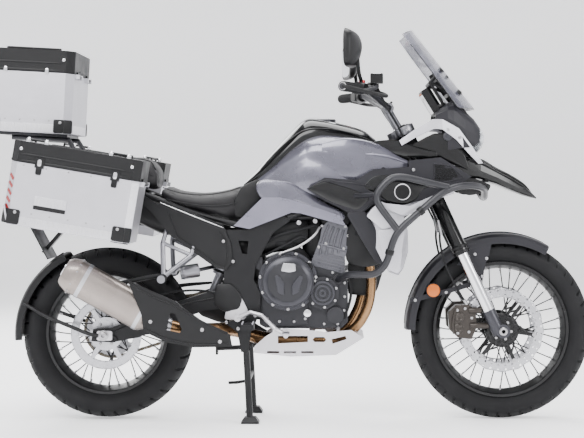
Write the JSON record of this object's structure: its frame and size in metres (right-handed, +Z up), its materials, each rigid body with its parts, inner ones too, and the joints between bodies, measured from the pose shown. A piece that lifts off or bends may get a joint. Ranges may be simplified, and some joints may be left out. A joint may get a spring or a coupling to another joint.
{
  "type": "adventure motorcycle",
  "caption": "Touring-enduro motorcycle with raked fork, spoked wheels, tall screen, crash bars and hard metal luggage cases, upright on its centre stand.",
  "frame": {"origin": "centre of the bounding box, on the floor", "axes": "+X forward, +Y to the rider's left, +Z up"},
  "size_m": [2.1736, 0.9328, 1.413],
  "materials": {
    "black_frame_paint": "satin powder coat",
    "engine_grey": "cast",
    "engine_cover": "satin",
    "header_bronze": "heat tinted",
    "silencer_titanium": "brushed",
    "black_metal": "matte",
    "crash_bar_grey": "satin",
    "light_alloy": "brushed",
    "tank_paint": "metallic gloss",
    "gloss_black": "gloss",
    "light_trim": "metallic",
    "silver_paint": "satin metallic",
    "charcoal_plastic": "grained",
    "black_plastic": "matte",
    "lamp_lens": "clear",
    "screen_acrylic": "tinted clear",
    "red_lens": "lens",
    "seat_vinyl": "grained vinyl",
    "case_aluminium": "brushed anodised",
    "chain_steel": "oiled",
    "caliper_grey": "satin",
    "black_tube": "gloss",
    "polished_tube": "polished",
    "tyre_rubber": "rubber",
    "hose_rubber": "rubber",
    "rim_black": "satin",
    "disc_steel": "ground"
  },
  "bodies": {
    "frame": {"main_frame": "black_frame_paint", "subframe": "black_frame_paint", "crankcase": "engine_grey", "cylinder_head": "engine_cover", "clutch_cover": "engine_cover", "radiator": "black_metal", "exhaust_headers": "header_bronze", "silencer": "silencer_titanium", "heat_shield": "black_metal", "skid_plate": "light_alloy", "fuel_tank": "tank_paint", "tank_top_cover": "gloss_black", "tank_lower_trim": "light_trim", "radiator_shrouds": "silver_paint", "side_fairings": "charcoal_plastic", "nose_cowl": "charcoal_plastic", "cowl_trim": "silver_paint", "headlight": "lamp_lens", "beak": "charcoal_plastic", "windshield": "screen_acrylic", "screen_bracket": "black_frame_paint", "instrument_panel": "black_plastic", "crash_bars": "crash_bar_grey", "rider_seat": "seat_vinyl", "pillion_seat": "seat_vinyl", "side_covers": "charcoal_plastic", "tail_light": "red_lens", "luggage_rack": "light_alloy", "right_pannier": "case_aluminium", "left_pannier": "case_aluminium", "top_case": "case_aluminium", "swingarm": "black_frame_paint", "rear_shock": "black_plastic", "drive_chain": "chain_steel", "rear_caliper": "caliper_grey", "rear_hugger": "charcoal_plastic", "footpegs": "black_frame_paint", "passenger_pegs": "light_alloy", "foot_levers": "light_alloy"},
    "fork": {"triple_clamps": "light_alloy", "fork_outer_tubes": "black_tube", "fork_inner_tubes": "polished_tube", "front_fender": "charcoal_plastic", "front_calipers": "caliper_grey", "handlebar": "light_alloy", "bar_controls": "black_plastic", "mirrors": "black_plastic", "brake_hoses": "hose_rubber"},
    "front_wheel": {"front_tyre": "tyre_rubber", "front_rim": "rim_black", "front_discs": "disc_steel"},
    "rear_wheel": {"rear_tyre": "tyre_rubber", "rear_rim": "rim_black", "rear_disc": "disc_steel"},
    "right_lid": {"right_lid": "case_aluminium"},
    "left_lid": {"left_lid": "case_aluminium"},
    "top_lid": {"top_lid": "case_aluminium"},
    "centre_stand": {"centre_stand": "black_frame_paint"},
    "side_stand": {"side_stand": "black_frame_paint"}
  },
  "joints": [
    {"name": "steering", "type": "hinge", "parent": "frame", "child": "fork", "pos_m": [0.42534, 0, 0.945], "axis": [-0.4226, 0, 0.9063], "range_deg": [-33, 33]},
    {"name": "front_wheel_spin", "type": "hinge", "parent": "fork", "child": "front_wheel", "pos_m": [0.761, 0, 0.326], "axis": [0, 1, 0], "continuous": true},
    {"name": "rear_wheel_spin", "type": "hinge", "parent": "frame", "child": "rear_wheel", "pos_m": [-0.667, 0, 0.313], "axis": [0, 1, 0], "continuous": true},
    {"name": "right_lid_hinge", "type": "hinge", "parent": "frame", "child": "right_lid", "pos_m": [-0.49221, -0.35, 0.85309], "axis": [0, 1, 0], "range_deg": [0, 80]},
    {"name": "left_lid_hinge", "type": "hinge", "parent": "frame", "child": "left_lid", "pos_m": [-0.49221, 0.35, 0.85309], "axis": [0, 1, 0], "range_deg": [0, 80]},
    {"name": "top_lid_hinge", "type": "hinge", "parent": "frame", "child": "top_lid", "pos_m": [-0.75915, 0, 1.23674], "axis": [0, 1, 0], "range_deg": [0, 80]},
    {"name": "centre_stand_pivot", "type": "hinge", "parent": "frame", "child": "centre_stand", "pos_m": [-0.16, 0, 0.272], "axis": [0, 1, 0], "range_deg": [0, 88]},
    {"name": "side_stand_pivot", "type": "hinge", "parent": "frame", "child": "side_stand", "pos_m": [-0.07, 0.168, 0.262], "axis": [0, -1, 0], "range_deg": [0, 104]}
  ]
}
